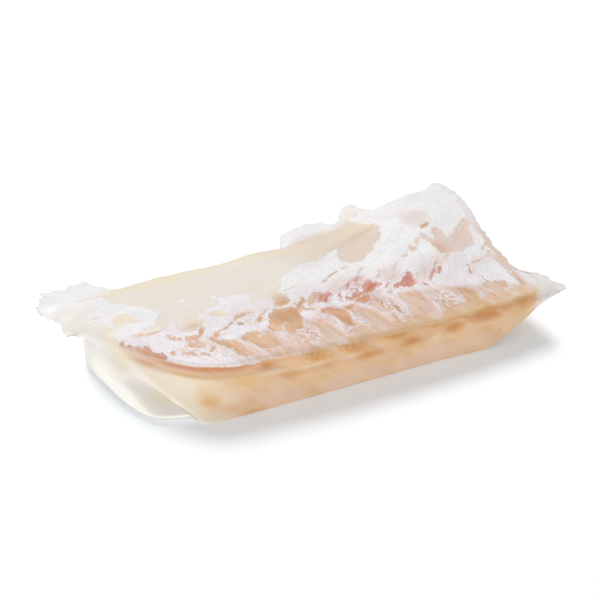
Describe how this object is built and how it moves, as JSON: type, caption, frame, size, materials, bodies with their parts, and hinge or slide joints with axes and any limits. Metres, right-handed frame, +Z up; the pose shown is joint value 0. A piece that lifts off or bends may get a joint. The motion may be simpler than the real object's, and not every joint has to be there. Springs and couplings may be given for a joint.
{
  "type": "cod loin",
  "caption": "Raw skinned cod loin portion with a domed top, a flat base and thin ragged flaps at its cut ends.",
  "frame": {"origin": "on the table, under the middle of the piece", "axes": "+X along the fish towards the pointed cut end, +Y towards the thin back rim, +Z up, with the thick edge at -Y"},
  "size_m": [0.1998, 0.1082, 0.0262],
  "materials": {
    "flesh": "moist raw flesh under torn white membrane"
  },
  "bodies": {
    "root": {"cod_loin": "flesh"}
  },
  "joints": []
}
